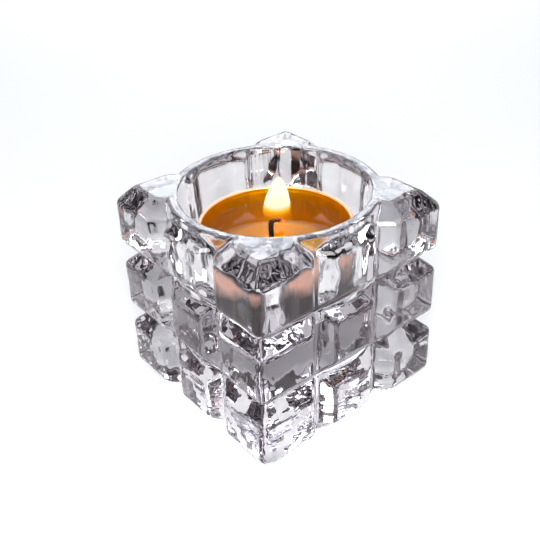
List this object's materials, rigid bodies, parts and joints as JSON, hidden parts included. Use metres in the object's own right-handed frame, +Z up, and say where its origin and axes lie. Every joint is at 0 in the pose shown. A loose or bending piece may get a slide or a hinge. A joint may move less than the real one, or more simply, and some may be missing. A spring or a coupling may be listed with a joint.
{
  "type": "tealight holder",
  "caption": "Clear pressed-glass cube with V-grooved faces and a round well, holding a lit tealight in a copper-coloured cup.",
  "frame": {"origin": "centre of the glass block's underside", "axes": "+Z up along the well's axis; X and Y square to the block's upright sides"},
  "size_m": [0.056, 0.056, 0.055],
  "materials": {
    "clear_glass": "clear, fire-polished",
    "copper_foil": "copper-lacquered, bright",
    "candle_wax": "melted, clear and wet",
    "wick_cotton": "charred braid",
    "plate_steel": "tinned sheet"
  },
  "bodies": {
    "holder": {"glass_holder": "clear_glass"},
    "tealight": {"tealight_cup": "copper_foil", "wax": "candle_wax", "wick": "wick_cotton", "wick_sustainer": "plate_steel"}
  },
  "joints": [
    {"name": "tealight_lift", "type": "slide", "parent": "holder", "child": "tealight", "axis": [0, 0, 1], "range_m": [0, 0.04]}
  ]
}
